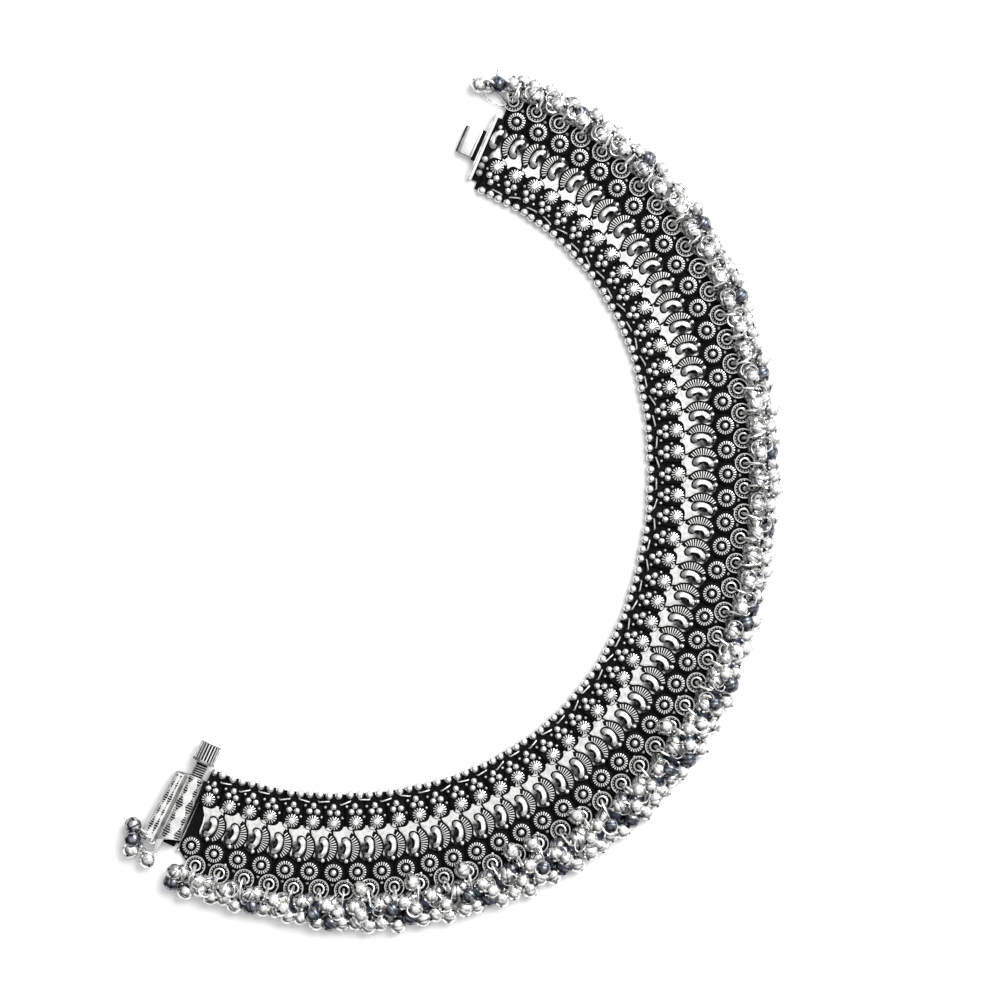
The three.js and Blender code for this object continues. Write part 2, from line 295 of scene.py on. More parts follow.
KIDNEY_NOTCH = Sizes(depth=0.74, half=0.34)
KIDNEY_KNOBS = Sizes(hollow_side=0.5, back=0.2)
KIDNEY = Sizes(segments=18, rings=16, grow=0, middle=1.5, rise=0.8)
KIDNEY_BED = Sizes(segments=20, rings=10, grow=0.3, middle=1.4, rise=0.16)
# The hollow side of the kidney is darkened as painted shade, its lower side is black, partly patina where it
# meets the plate and partly painted shade, and its upper arm is greyed as painted shade, with flecks of tone
# on top.
KIDNEY_HOLLOW = Sizes(start=0.15, half=0.55, tarnish=0.85)
KIDNEY_BLACK = 0.12
FLECKS = Sizes(steps=(7.31, 5.17), tone=0.42, mottled_to=-0.25, mottled=0.15, elsewhere=0.5)


def face_outward(piece):
    """Turns every face of a piece outward."""
    pick(piece)
    bpy.ops.mesh.normals_make_consistent(inside=False)
    close()


leaf = begin(bpy.ops.mesh.primitive_circle_add, vertices=len(LEAF_OUTLINE), radius=1, fill_type="NGON")
for point, (x, y) in zip(leaf.data.vertices, LEAF_OUTLINE):
    point.co = (x, y, LEAF.bottom)
face_outward(leaf)
pick(leaf)
bpy.ops.mesh.extrude_region_move(TRANSFORM_OT_translate={"value": (0, 0, LEAF.top - LEAF.bottom)})
face_outward(leaf)
pick(leaf, is_top)
draw_in(LEAF_STEPS)


def leaf_patina_and_shade(point):
    if point.z > LEAF.top + LEAF_BORDER.under:
        return LEAF.dull if point.y > LEAF.bright_to else 0
    is_back = point.x < LEAF_BORDER.back and point.y > LEAF_BORDER.back_from
    return 1 if is_back or point.y > LEAF_BORDER.black_from else LEAF_BORDER.tarnish


stain(leaf, leaf_patina_and_shade)


def lean(place, sizes):
    """The angle of a place off the back of the leaf."""
    return math.atan2(place.y - sizes.y, sizes.x - place.x)


def thicken(piece, sheet):
    """Gives an open sheet its thickness."""
    pick(piece)
    bpy.ops.mesh.normals_make_consistent(inside=False)
    bpy.ops.mesh.solidify(thickness=sheet)
    face_outward(piece)


def crescent_of(sizes, heights):
    """Part of a ring that narrows towards both ends, highest along its crest."""
    piece = begin(bpy.ops.mesh.primitive_circle_add, vertices=sizes.sides, radius=sizes.outer,
                  fill_type="NGON", location=(sizes.x, sizes.y, 0))
    pick(piece)
    bpy.ops.mesh.inset(thickness=sizes.outer - sizes.crest)
    bpy.ops.mesh.inset(thickness=sizes.crest - sizes.inner)
    bpy.ops.mesh.delete(type="FACE")
    pick(piece, lambda face: abs(lean(face.center, sizes)) > sizes.spread)
    bpy.ops.mesh.delete(type="FACE")
    close()
    for point in piece.data.vertices:
        away = reach(point.co, sizes)
        nearest = min(("outer", "crest", "inner"), key=lambda part: abs(getattr(sizes, part) - away))
        taper = 1 - CRESCENT_TAPER * (abs(lean(point.co, sizes)) / sizes.spread) ** 2
        drawn = (sizes.outer - (sizes.outer - away) * taper) / away
        point.co = (sizes.x + (point.co.x - sizes.x) * drawn,
                    sizes.y + (point.co.y - sizes.y) * drawn, getattr(heights, nearest))
    thicken(piece, heights.sheet)
    return piece


crescent_bed = crescent_of(CRESCENT_BED, CRESCENT_BED_HEIGHT)
stain(crescent_bed, 1)
crescent = crescent_of(CRESCENT, CRESCENT_HEIGHT)
stain(crescent, 0)
cut_between(crescent, CRESCENT, CRESCENT_CUT)


def kidney_middle(along):
    """Where the bent middle line of the kidney lies at a share of its half length."""
    return KIDNEY_SHAPE.x + KIDNEY_SHAPE.lean * along + KIDNEY_SHAPE.bow * along ** 2


def kidney_of(segments, rings, grow, middle, rise):
    """A ball drawn out along the band's width, bent to a kidney and notched on its hollow side."""
    piece = begin(bpy.ops.mesh.primitive_uv_sphere_add, segments=segments, ring_count=rings, radius=1,
                  rotation=(math.pi / 2, 0, 0))
    for point in piece.data.vertices:
        along = point.co.y
        side = point.co.x * math.sqrt(1 + along ** 2) * (KIDNEY_SHAPE.width + grow)
        if side > 0:
            side *= 1 - KIDNEY_NOTCH.depth * math.exp(-(along / KIDNEY_NOTCH.half) ** 2)
        knob = KIDNEY_KNOBS.hollow_side if side > 0 else KIDNEY_KNOBS.back
        height = rise * (1 - knob * math.cos(math.tau * along)) * point.co.z
        point.co = (kidney_middle(along) + side, KIDNEY_SHAPE.y + (KIDNEY_SHAPE.half + grow) * along,
                    middle + height)
    face_outward(piece)
    return piece


# Painted shade on the hollow side and upper arm, and black on the lower side, partly patina and partly
# painted shade.
def kidney_patina_and_shade(point):
    along = (point.y - KIDNEY_SHAPE.y) / KIDNEY_SHAPE.half
    if point.z < KIDNEY.middle + KIDNEY_BLACK:
        return 1
    if point.x - kidney_middle(along) > KIDNEY_HOLLOW.start and abs(along) < KIDNEY_HOLLOW.half:
        return KIDNEY_HOLLOW.tarnish
    fleck = FLECKS.tone * ((FLECKS.steps[0] * point.x + FLECKS.steps[1] * point.y) % 1)
    return FLECKS.mottled + fleck if along < FLECKS.mottled_to else FLECKS.elsewhere * fleck


kidney_bed = kidney_of(**vars(KIDNEY_BED))
stain(kidney_bed, 1)
kidney = kidney_of(**vars(KIDNEY))
stain(kidney, kidney_patina_and_shade)


def move(way):
    return Matrix.Translation(way)


lift = move((LEAF_LIFT.about, 0, 0)) @ spin(LEAF_LIFT.turn, "Y") @ move((-LEAF_LIFT.about, 0, 0))
for piece in (leaf, crescent_bed, crescent, kidney_bed, kidney):
    piece.data.transform(lift)
    link_pieces.append(piece)

# Ribbed disc of a link. A cast rosette: twenty ribs round a narrow black groove with a solid ball in the
# middle, standing in a black collar. A cylinder stepped up and in, with every second facet sunk.
DISC = Sizes(x=0, y=19.6, radius=2.12, bottom=0.5, top=1.72, sides=40)
DISC_STEPS = ((0.04, 0.14), (0.2, 0.05), (0.54, 0.02), (0.06, -0.6))
DISC_CUT = Sizes(depth=0.42, start=1.3, to=2.12, swing=0.006)
DISC_GROOVE = 1.25
DISC_BALL = (0, 19.6, 1.78, 0.82, 14)  # as the grains of the tile
COLLAR = Sizes(x=0, y=19.6, radius=2.72, bottom=0.4, top=1.3, sides=28)
COLLAR_STEPS = ((0.15, 0.08),)

disc = boss(DISC, DISC_STEPS)
stain(disc, lambda point: 1 if point.z < DISC.top + SIDE_BLACK or reach(point, DISC) < DISC_GROOVE else 0)
cut_between(disc, DISC, DISC_CUT)
collar = boss(COLLAR, COLLAR_STEPS)
stain(collar, 1)
link_pieces += [disc, collar, grain(*DISC_BALL)]

# Eyelet of a link, off the disc towards the link before. A round collar with a thin bright outer rim, a row
# of small beads on the disc's side, a black ring and a bright inner rim round the hole for the jump ring.
# Tori and small balls on a black foot.
EYELET_HEIGHT = 1.6
EYELET_RIMS = (
    Sizes(radius=2.28, wire=0.18, sides=(28, 6), black_to=-0.02, tarnish=0.24),
    Sizes(radius=1.2, wire=0.26, sides=(20, 8), black_to=0.05, tarnish=0.16),
)
EYELET_FOOT = Sizes(x=-2.6, y=23.76, radius=2.5, bottom=0.4, top=1.3, sides=28)
EYELET_FOOT_STEPS = ((0.15, 0.08), (1.35, 0), (0.05, -0.5))
EYELET_BEADS = Sizes(count=12, radius=1.9, start=3.2, to=7.1)
EYELET_BALL = (1.55, 0.22, 6)  # height of the middle, radius, sides

for sizes in EYELET_RIMS:
    rim = ring(sizes, (EYELET_FOOT.x, EYELET_FOOT.y, EYELET_HEIGHT))
    stain(rim, two_tone(EYELET_HEIGHT + sizes.black_to, sizes.tarnish))
    link_pieces.append(rim)
eyelet_foot = boss(EYELET_FOOT, EYELET_FOOT_STEPS)
stain(eyelet_foot, 1)
link_pieces.append(eyelet_foot)
for index in range(EYELET_BEADS.count):
    share = index / (EYELET_BEADS.count - 1)
    turn = EYELET_BEADS.start + (EYELET_BEADS.to - EYELET_BEADS.start) * share
    link_pieces.append(grain(EYELET_FOOT.x + EYELET_BEADS.radius * math.cos(turn),
                             EYELET_FOOT.y + EYELET_BEADS.radius * math.sin(turn), *EYELET_BALL))

# The band of links. Fifty-one castings hang side by side along a curve of four arcs, each a little out of
# true, and the first is cut clear of the tongue bar. The silver is polished on the crests and black in the
# recesses, with a cloudy edge between the two.
LINK_COUNT = 51
UPPER_COUNT = 26
ROUTE_START = Sizes(x=15.489, y=91.82, heading=math.radians(-23.4))
ROUTE_RADII = (82, 114, 84.9, 102.6)
ROUTE_LENGTH = 290.9
LINK_PLAY = Sizes(turn=math.radians(1.2), shift=0.3)
LOOP_PLAY = Sizes(swing=0.75, step=0.7)
PLAY_KINDS = {  # a number for each kind of play
    "turn": 1, "shift": 2, "along": 3, "ring_end": 6, "ring_tip": 7, "outward": 8, "roll": 12, "swing": 15,
    "step": 16, "thin_ring": 17, "shade": 22, "slipped": 27,
}
WOBBLE_STEPS = (0.618034, 0.754878)
FIRST_LINK_EDGE = -4.05
FIRST_LINK_DARK = Sizes(to=-2.2, under=1.5)
LAST_TILE = Sizes(to=4.2, drawn_in=0.72, ground_to=21.5)
SHARP = math.radians(38)
MM = 0.001
POLISHED = (0.95, 0.94, 0.92, 1)
SILVER = Sizes(  # what all the silver has in common
    cloud_detail=5, fine=9, fine_detail=3, uneven=0.45, black=(0.42, 0.95),
    mottle=(0.4, 0.66), specks=(0.58, 0.78), speck_tone=0.12, wear=0.16, bump=0.25,
    bump_depth=0.00006, sheen=0.05,
)


def wobble(column, kind, index=0):
    """A number from -0.5 to 0.5 that is fixed for each link, each kind of play and each piece of a kind."""
    return (column * WOBBLE_STEPS[0] + (PLAY_KINDS[kind] + index) * WOBBLE_STEPS[1]) % 1 - 0.5


def route_point(distance):
    """Point and heading of the disc row at a distance along it."""
    x, y, heading = ROUTE_START.x, ROUTE_START.y, ROUTE_START.heading
    arc_length = ROUTE_LENGTH / len(ROUTE_RADII)
    for index, radius in enumerate(ROUTE_RADII):
        is_last = index == len(ROUTE_RADII) - 1
        step = distance if is_last else min(distance, arc_length)
        turned = heading - step / radius
        x += radius * (math.sin(heading) - math.sin(turned))
        y += radius * (math.cos(turned) - math.cos(heading))
        heading = turned
        distance -= step
    return x, y, heading


def link_place(column, turn=0, shift=0):
    """From a link's own frame, in millimetres, to the anklet's."""
    x, y, heading = route_point(column * ROUTE_LENGTH / (LINK_COUNT - 1))
    return Matrix.Scale(MM, 4) @ move((x, y, 0)) @ spin(heading + turn, "Z") @ move((0, shift - DISC.y, 0))


def take(*pieces):
    """Selects these pieces and no others, with the first in hand."""
    bpy.ops.object.select_all(action="DESELECT")
    for piece in pieces:
        piece.select_set(True)
    bpy.context.view_layer.objects.active = pieces[0]


def open_all():
    """Opens the piece in hand for editing with all of it selected."""
    bpy.ops.object.mode_set(mode="EDIT")
    bpy.ops.mesh.select_all(action="SELECT")


def join(pieces):
    """Joins pieces into one, with smooth faces and sharp edges."""
    take(*pieces)
    bpy.ops.object.join()
    bpy.ops.object.shade_smooth_by_angle(angle=SHARP)
    return bpy.context.object


def copy_to(model, place):
    """A copy of a model, with a mesh of its own, at a place."""
    copy = model.copy()
    copy.data = model.data.copy()
    copy.data.transform(place)
    bpy.context.collection.objects.link(copy)
    return copy


def feed(tree, node, inputs):
    """Gives inputs of a shading node their values, or wires them to the outputs of other nodes."""
    for name, value in inputs.items():
        if isinstance(value, bpy.types.NodeSocket):
            tree.links.new(value, node.inputs[name])
        else:
            node.inputs[name].default_value = value


def set_up(thing, traits):
    """Gives traits of a node, a modifier or a light their values."""
    for name, value in traits.items():
        setattr(thing, name, value)


def add(tree, kind, output, inputs, **traits):
    """Adds a shading node and gives back one of its outputs."""
    node = tree.nodes.new(kind)
    set_up(node, traits)
    feed(tree, node, inputs)
    return node.outputs[output]


def noise(tree, place, scale, detail):
    return add(tree, "ShaderNodeTexNoise", "Fac", {"Vector": place, "Scale": scale, "Detail": detail})


def ramp(tree, value, limits, results=(0, 1), kind="LINEAR"):
    """Turns a value that runs between two limits into one that runs between two results."""
    return add(tree, "ShaderNodeMapRange", 0, {
        "Value": value, "From Min": limits[0], "From Max": limits[1], "To Min": results[0],
        "To Max": results[1]}, interpolation_type=kind)


def mix(tree, share, first, second):
    """Blends one colour into another."""
    return add(tree, "ShaderNodeMix", "Result", {"Factor": share, "A": first, "B": second}, data_type="RGBA")


def scaled_on(tree, value, factor, base):
    """A value times a factor, on top of a base."""
    return add(tree, "ShaderNodeMath", 0, {0: value, 1: factor, 2: base}, operation="MULTIPLY_ADD")


def silver(name, polished, shaded, blackened, gloss, cloud, tarnish_metal=0, tarnish_gloss=0.6):
    """Silver that its patina-and-shade marks turn from polished to black, with cloudy tarnish and casting
    grain.
    """
    finish = bpy.data.materials.new(name)
    finish.use_nodes = True
    tree = finish.node_tree
    place = add(tree, "ShaderNodeTexCoord", "Object", {})
    patina_and_shade = add(tree, "ShaderNodeAttribute", "Fac", {}, attribute_name="patina_and_shade")
    clouds = noise(tree, place, cloud, SILVER.cloud_detail)
    fine = noise(tree, place, cloud * SILVER.fine, SILVER.fine_detail)
    uneven = scaled_on(tree, clouds, SILVER.uneven, patina_and_shade)
    black = ramp(tree, uneven, SILVER.black, kind="SMOOTHSTEP")
    tone = mix(tree, ramp(tree, clouds, SILVER.mottle, kind="SMOOTHSTEP"), polished, shaded)
    speck = (*(SILVER.speck_tone * part for part in shaded[:3]), 1)
    soot = mix(tree, ramp(tree, fine, SILVER.specks), blackened, speck)
    dull = ramp(tree, black, (0, 1), (gloss, tarnish_gloss))
    feed(tree, tree.nodes["Principled BSDF"], {
        "Base Color": mix(tree, black, tone, soot),
        "Metallic": ramp(tree, black, (0, 1), (1, tarnish_metal)) if tarnish_metal < 1 else 1,
        "Roughness": scaled_on(tree, fine, SILVER.wear, dull),
        "Normal": add(tree, "ShaderNodeBump", "Normal", {
            "Strength": SILVER.bump, "Distance": SILVER.bump_depth, "Height": fine}),
        "Specular IOR Level": SILVER.sheen,
    })
    return finish


def dress(piece, name, finish, body, slot, *nodes):
    """Names a finished piece, gives it its finish and fixes it to its body."""
    piece.name = name
    piece.data.name = name
    piece.data.materials.clear()
    piece.data.materials.append(finish)
    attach(piece, body)
    if nodes:
        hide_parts(*nodes)


def forget(piece):
    bpy.data.objects.remove(piece, do_unlink=True)


oxidised_silver = silver("oxidised_silver", POLISHED, (0.72, 0.72, 0.72, 1), (0.002, 0.002, 0.002, 1),
                         gloss=0.2, cloud=1100)
link_model = join(link_pieces)
face_outward(link_model)


def cut_first_link(link):
    """Cuts the first link off at the tongue bar and blackens it there."""
    take(link)
    open_all()
    bpy.ops.mesh.bisect(plane_co=(FIRST_LINK_EDGE, 0, 0), plane_no=(-1, 0, 0), use_fill=True,
                        clear_outer=True)
    close()
    marks = marks_of(link)
    for point in link.data.vertices:
        if point.co.x < FIRST_LINK_DARK.to and point.co.z < FIRST_LINK_DARK.under:
            marks[point.index].value = 1


def draw_in_last_link(link):
    """Draws the last link in beside the clasp."""
    for point in link.data.vertices:
        if point.co.x > 0 and point.co.y < LAST_TILE.to:
            point.co.x *= LAST_TILE.drawn_in
        if point.co.x > 0 and point.co.y > GROUND.end - NEAR and point.co.z < GROUND.top + NEAR:
            point.co.y = LAST_TILE.ground_to


def lay_links(first, last):
    links = []
    for column in range(first, last):
        link = copy_to(link_model, Matrix.Identity(4))
        turn, shift = LINK_PLAY.turn * wobble(column, "turn"), LINK_PLAY.shift * wobble(column, "shift")
        if column == 0:
            turn, shift = 0, 0
            cut_first_link(link)
        if column == LINK_COUNT - 1:
            turn, shift = 0, 0
            draw_in_last_link(link)
        place = link_place(column, turn, shift)
        link.data.transform(place)
        links.append(link)
        if column < LINK_COUNT - 1:
            swing = spin(LOOP_PLAY.swing * wobble(column, "swing"), "Z")
            step = move((0, LOOP_PLAY.step * wobble(column, "step"), 0))
            links.append(copy_to(loop, place @ move(LOOP_PLACE) @ step @ swing))
    return join(links)


upper_links = lay_links(0, UPPER_COUNT)
dress(upper_links, "links_upper", oxidised_silver, "band", "oxidised_silver", "link_chain_upper")
lower_links = lay_links(UPPER_COUNT, LINK_COUNT)
dress(lower_links, "links_lower", oxidised_silver, "band", "oxidised_silver", "link_chain_lower")
forget(link_model)
forget(loop)

# Bells and rings. Hollow balls of thin silver with four slits, a seam and a wire loop at the crown, four to
# six to a link, on a long jump ring in the eyelet. They lie in a heap with thin rings on it, and a bent wire
# and a pin at the upper end. A ball with sunk facets, and plain rings, made once and copied.
BELL = Sizes(radius=2.05, segments=16, rings=12)
BELL_SLIT = Sizes(start=0.28, to=1.15, rim=0.05, depth=0.35, every=4)
BELL_SEAM = Sizes(band=0.45, rim=0.17, depth=0.05, tarnish=0.3)
BELL_CROWN = Sizes(start=0.93, tarnish=0.8)
BELL_LOOP = Sizes(radius=0.55, wire=0.19, sides=(10, 5), reach=2.45, tarnish=0.55)
JUMP_RING = Sizes(radius=1.65, wire=0.31, sides=(20, 7), drawn_out=1.45)
JUMP_RING_START = (-2.6, 23.6, 3.3)
JUMP_RING_PLAY = Sizes(along=2.4, tip=0.7)
THIN_RING = Sizes(radius=1.75, wire=0.19, sides=(22, 5))
THIN_RING_PLACE = (0.4, 27.4, 4.6)
THIN_RING_PLAY = (3, 2, 0.8)  # along, outward, up
THIN_RING_TIP = 0.35
THIN_RING_LET_OUT = 0.5
THIN_RING_DRAWS = 5  # numbers that each thin ring takes: three for its place, then its turn and its tip
HEAP = (  # x, y, z, play along, play outward, tarnish and painted shade, share of the letting out: the bells of one link
    (-2.3, 29.9, 2.05, 0.8, 1.0, 0.12, 1),
    (0.9, 29.1, 2.5, 0.9, 1.1, 0.15, 1),
    (-0.2, 26.5, 2.1, 0.7, 0.6, 0.4, 0.1),
    (1.5, 27.0, 3.4, 0.7, 0.8, 0.2, 0.2),
    (-1.0, 28.6, 3.6, 1.6, 1.2, 0.1, 0.4),
    (-3.2, 27.6, 2.05, 0.8, 0.8, 0.85, 0.4),
)
FRINGE = (  # column, how far the bells are let out there, bells to a link, thin rings to a link
    (0, -0.4, 4, 2), (10, 0.8, 4, 2), (24, 1.0, 6, 2), (28, 2.4, 6, 1), (36, 2.7, 6, 1), (43, 2.6, 6, 1),
    (47, 0.2, 4, 2), (51, 0, 4, 2),
)
SLIPPED_COLUMNS = (29, 34, 36, 37, 39, 41, 43)  # links with a bell over the eyelet
SLIPPED_PLACE = (-1.4, 23.3, 3.7)
SLIPPED_PLAY = (2, 1.4, 0)
BELL_SHADE = 0.35
DARK_BELL = Sizes(every=9, first=4, tarnish=0.6)
END_BELLS = (  # x, y, z, tarnish, seen from the first link
    (-4.4, 27.6, 2.3, 0), (-7.8, 26.0, 2.5, 0.62), (-11.8, 24.2, 2.07, 0),
)
END_RING = Sizes(tip=0.9, back=1.2)
END_WIRE = Sizes(place=(-8.3, 23.2, 1.1), turn=math.radians(-12), tarnish=0.5)
END_WIRE_STRETCH = (2.5, 0.75, 1, 1)
END_PIN = Sizes(place=(-8.8, 28.3, 2.5), turn=math.radians(113), tarnish=0.6)
END_PIN_SIZE = {"vertices": 8, "radius1": 0.3, "radius2": 0.13, "depth": 2.0}

bell = begin(bpy.ops.mesh.primitive_uv_sphere_add, segments=BELL.segments, ring_count=BELL.rings,
             radius=BELL.radius, rotation=(-math.pi / 2, 0, 0))


def is_slit(face):
    off_foot = math.acos(max(-1, min(1, face.center.y / face.center.length)))
    side = int(math.atan2(face.center.z, face.center.x) % math.tau / math.tau * BELL.segments)
    return BELL_SLIT.start < off_foot < BELL_SLIT.to and side % BELL_SLIT.every == 0


# The slits are shallow sunk facets painted black, a painted shade of the inside of the hollow bell.
pick(bell, is_slit)
bpy.ops.mesh.inset(thickness=BELL_SLIT.rim, depth=-BELL_SLIT.depth)
blacken_picked(bell)
pick(bell, lambda face: -BELL_SEAM.band < face.center.y < 0)
bpy.ops.mesh.inset(thickness=BELL_SEAM.rim, depth=-BELL_SEAM.depth)
blacken_picked(bell, BELL_SEAM.tarnish)
for point in bell.data.vertices:
    if point.co.y < -BELL_CROWN.start * BELL.radius:
        marks_of(bell)[point.index].value = BELL_CROWN.tarnish
crown = ring(BELL_LOOP, (0, -BELL_LOOP.reach, 0))
stain(crown, lambda point: BELL_LOOP.tarnish if point.y > -BELL_LOOP.reach else 0)
bell_model = join([bell, crown])
jump_ring = join([ring(JUMP_RING)])
thin_ring = join([ring(THIN_RING)])
bell_silver = silver("bell_silver", POLISHED, (0.5, 0.5, 0.5, 1), (0.05, 0.06, 0.08, 1),
                     gloss=0.17, cloud=900, tarnish_metal=1, tarnish_gloss=0.14)


def bell_at(place, centre, toward, roll, tarnish=0):
    """A bell with its crown towards a point, both in the frame of a place, turned about its own axis."""
    axis = (Vector(centre) - Vector(toward)).normalized()
    turned = axis.to_track_quat("Y", "Z").to_matrix().to_4x4()
    hung = copy_to(bell_model, place @ move(centre) @ turned @ spin(roll, "Y"))
    for mark in marks_of(hung):
        mark.value = min(1, mark.value + tarnish)
    return hung


def jump_ring_at(place, start, toward, tip, drawn_out=1):
    """A jump ring that starts at a point and reaches towards another, tipped off upright and drawn out."""
    way = Vector(toward) - Vector(start)
    yaw = math.atan2(way.y, way.x)
    middle = Vector(start) + way.normalized() * JUMP_RING.radius * drawn_out
    upright = spin(yaw, "Z") @ spin(math.pi / 2 + tip, "X")
    return copy_to(jump_ring, place @ move(middle) @ upright @ Matrix.Diagonal((drawn_out, 1, 1, 1)))


def fringe_at(column):
    """How far the bells of a link are let out, and how many bells and thin rings it has."""
    after = next(index for index, row in enumerate(FRINGE) if row[0] > column)
    start, out, bell_count, ring_count = FRINGE[after - 1]
    end, next_out = FRINGE[after][:2]
    return out + (next_out - out) * (column - start) / (end - start), bell_count, ring_count


def with_play(place, play, column, kind, index=0):
    """A place, shifted by the play of a link along, outward and up."""
    return [start + size * wobble(column, kind, index + way)
            for way, (start, size) in enumerate(zip(place, play))]


def lay_bells(first, last):
    bells = []
    hole_x, hole_y, hole_z = JUMP_RING_START
    for column in range(first, last):
        place = link_place(column)
        out, bell_count, ring_count = fringe_at(column)
        ring_end = (hole_x + JUMP_RING_PLAY.along * wobble(column, "ring_end"),
                    hole_y + 2 * JUMP_RING.radius * JUMP_RING.drawn_out, hole_z)
        ring_tip = JUMP_RING_PLAY.tip * wobble(column, "ring_tip")
        bells.append(jump_ring_at(place, JUMP_RING_START, ring_end, ring_tip, JUMP_RING.drawn_out))
        # The third and sixth bells lie underneath and are darker, a painted shade in the gaps of the heap.
        for index, (x, y, z, along, outward, tarnish, let_out) in enumerate(HEAP[:bell_count]):
            centre = (x + along * wobble(column, "along", index),
                      y + let_out * out + outward * wobble(column, "outward", index), z)
            is_dark = (column * len(HEAP) + index) % DARK_BELL.every == DARK_BELL.first
            shade = max(0, tarnish + BELL_SHADE * wobble(column, "shade", index))
            bells.append(bell_at(place, centre, ring_end, math.tau * wobble(column, "roll", index),
                                 DARK_BELL.tarnish if is_dark else shade))
        if column in SLIPPED_COLUMNS:
            centre = with_play(SLIPPED_PLACE, SLIPPED_PLAY, column, "slipped")
            bells.append(bell_at(place, centre, ring_end, math.tau * wobble(column, "slipped", 2)))
        let_out = move((0, THIN_RING_LET_OUT * out, 0))
        for index in range(0, THIN_RING_DRAWS * ring_count, THIN_RING_DRAWS):
            over = with_play(THIN_RING_PLACE, THIN_RING_PLAY, column, "thin_ring", index)
            turned = spin(math.tau * wobble(column, "thin_ring", index + 3), "Z")
            tipped = spin(THIN_RING_TIP + wobble(column, "thin_ring", index + 4), "X")
            bells.append(copy_to(thin_ring, place @ let_out @ move(over) @ turned @ tipped))
    return bells


end_place = link_place(0)
end_bells = []
end_back = JUMP_RING_START
for x, y, z, tarnish in END_BELLS:
    end_bells.append(jump_ring_at(end_place, end_back, (x, y, end_back[2]), END_RING.tip))
    end_bells.append(bell_at(end_place, (x, y, z), end_back, x, tarnish))
    end_back = (x, y - END_RING.back, end_back[2])
end_wire = copy_to(thin_ring, end_place @ move(END_WIRE.place) @ spin(END_WIRE.turn, "Z")
                   @ Matrix.Diagonal(END_WIRE_STRETCH))
stain(end_wire, END_WIRE.tarnish)
end_pin = begin(bpy.ops.mesh.primitive_cone_add, rotation=(0, math.pi / 2, 0), **END_PIN_SIZE)
end_pin.data.transform(end_place @ move(END_PIN.place) @ spin(END_PIN.turn, "Z"))
stain(end_pin, END_PIN.tarnish)
upper_bells = join(end_bells + [end_wire, end_pin] + lay_bells(0, UPPER_COUNT))
dress(upper_bells, "bells_upper", bell_silver, "band", "bell_silver", "bell_fringe_upper")
lower_bells = join(lay_bells(UPPER_COUNT, LINK_COUNT))
dress(lower_bells, "bells_lower", bell_silver, "band", "bell_silver", "bell_fringe_lower")

# Tongue bar at the upper end. A bright bar with a fine line along it, a tab of sheet silver folded under at
# its end, whose fold and edges are darkened as painted shade, a black slot beside the bar, which is a painted
# shadow of the gap there, and three dark knuckles to the first link. Blocks, some with broken edges, and a
# strip drawn out edge by edge and given its thickness.
TONGUE_BLOCKS = (  # left, right, start, end, bottom, top, width of the broken edges, tone
    (-5.09, -4.45, 2.4, 19.3, 0.05, 2.6, 0, 0),  # bar
    (-5.55, -5.19, 2.4, 19.3, 0.05, 2.45, 0, 0.4),  # its side beyond the fine line
    (-5.35, -4.55, 2.6, 19.1, 0.1, 2.2, 0, 1),  # the dark of the line
    (-6.6, -5.45, 6.9, 14.6, 0.3, 1.75, 0.12, 1),  # slot, a painted shadow of the gap between the tab and the bar
    (-6.98, -6.5, 7.52, 14.22, 1.0, 2.2, 0.06, two_tone(2.15, 0.15, 0.9)),  # lip of the tab
    (-4.5, -2.3, 2.6, 18.9, 0.2, 0.72, 0.1, 1),  # plate of the knuckles
)
TAB = Sizes(left=-9.55, right=-7.1, start=7.4, end=14.1, top=2.2, sheet=0.5, edge=0.08)
TAB_FOLD = ((-1.0, -0.5), (-0.2, -0.8), (0.45, -0.3), (3.6, 0))  # step along, step up
# The fold and the edges of the tab are darkened as painted shade, and its top is a little grey.
TAB_SHADE = Sizes(fold=0.7, sides=0.9, side_width=0.04, top=0.12)
KNUCKLES = ((-3.4, 4.8), (-3.6, 6.6), (-3.4, 8.4))  # x, y
KNUCKLE = (1.1, 0.8, 14)  # height of the middle, radius, sides
KNUCKLE_TARNISH = 0.5


def break_edges(piece, width):
    """Bevels every edge of a piece."""
    pick_edges(piece)
    bpy.ops.mesh.bevel(offset=width, segments=2, affect="EDGES")
    close()


def marked_block(left, right, start, end, bottom, top, edge, tone):
    """A block with its edges broken, unless their width is 0, and its patina marked."""
    piece = block(left, right, start, end, bottom, top)
    if edge:
        break_edges(piece, edge)
    stain(piece, tone)
    return piece


tongue_pieces = [marked_block(*row) for row in TONGUE_BLOCKS]
tab_middle = ((TAB.left + TAB.right) / 2, (TAB.start + TAB.end) / 2, TAB.top)
tab = begin(bpy.ops.mesh.primitive_plane_add, size=1, location=tab_middle)
pick(tab)
bpy.ops.transform.resize(value=(TAB.right - TAB.left, TAB.end - TAB.start, 1), center_override=tab_middle)
close()
pick_edges(tab, lambda a, b: max(a.x, b.x) < TAB.left + NEAR)
for step_along, step_up in TAB_FOLD:
    bpy.ops.mesh.extrude_edges_move(TRANSFORM_OT_translate={"value": (step_along, 0, step_up)})
thicken(tab, TAB.sheet)
break_edges(tab, TAB.edge)


def tab_shade(point):
    if point.x < TAB.left - NEAR:
        return TAB_SHADE.fold
    off_side = min(point.y - TAB.start, TAB.end - point.y)
    return TAB_SHADE.sides if off_side < TAB_SHADE.side_width else TAB_SHADE.top


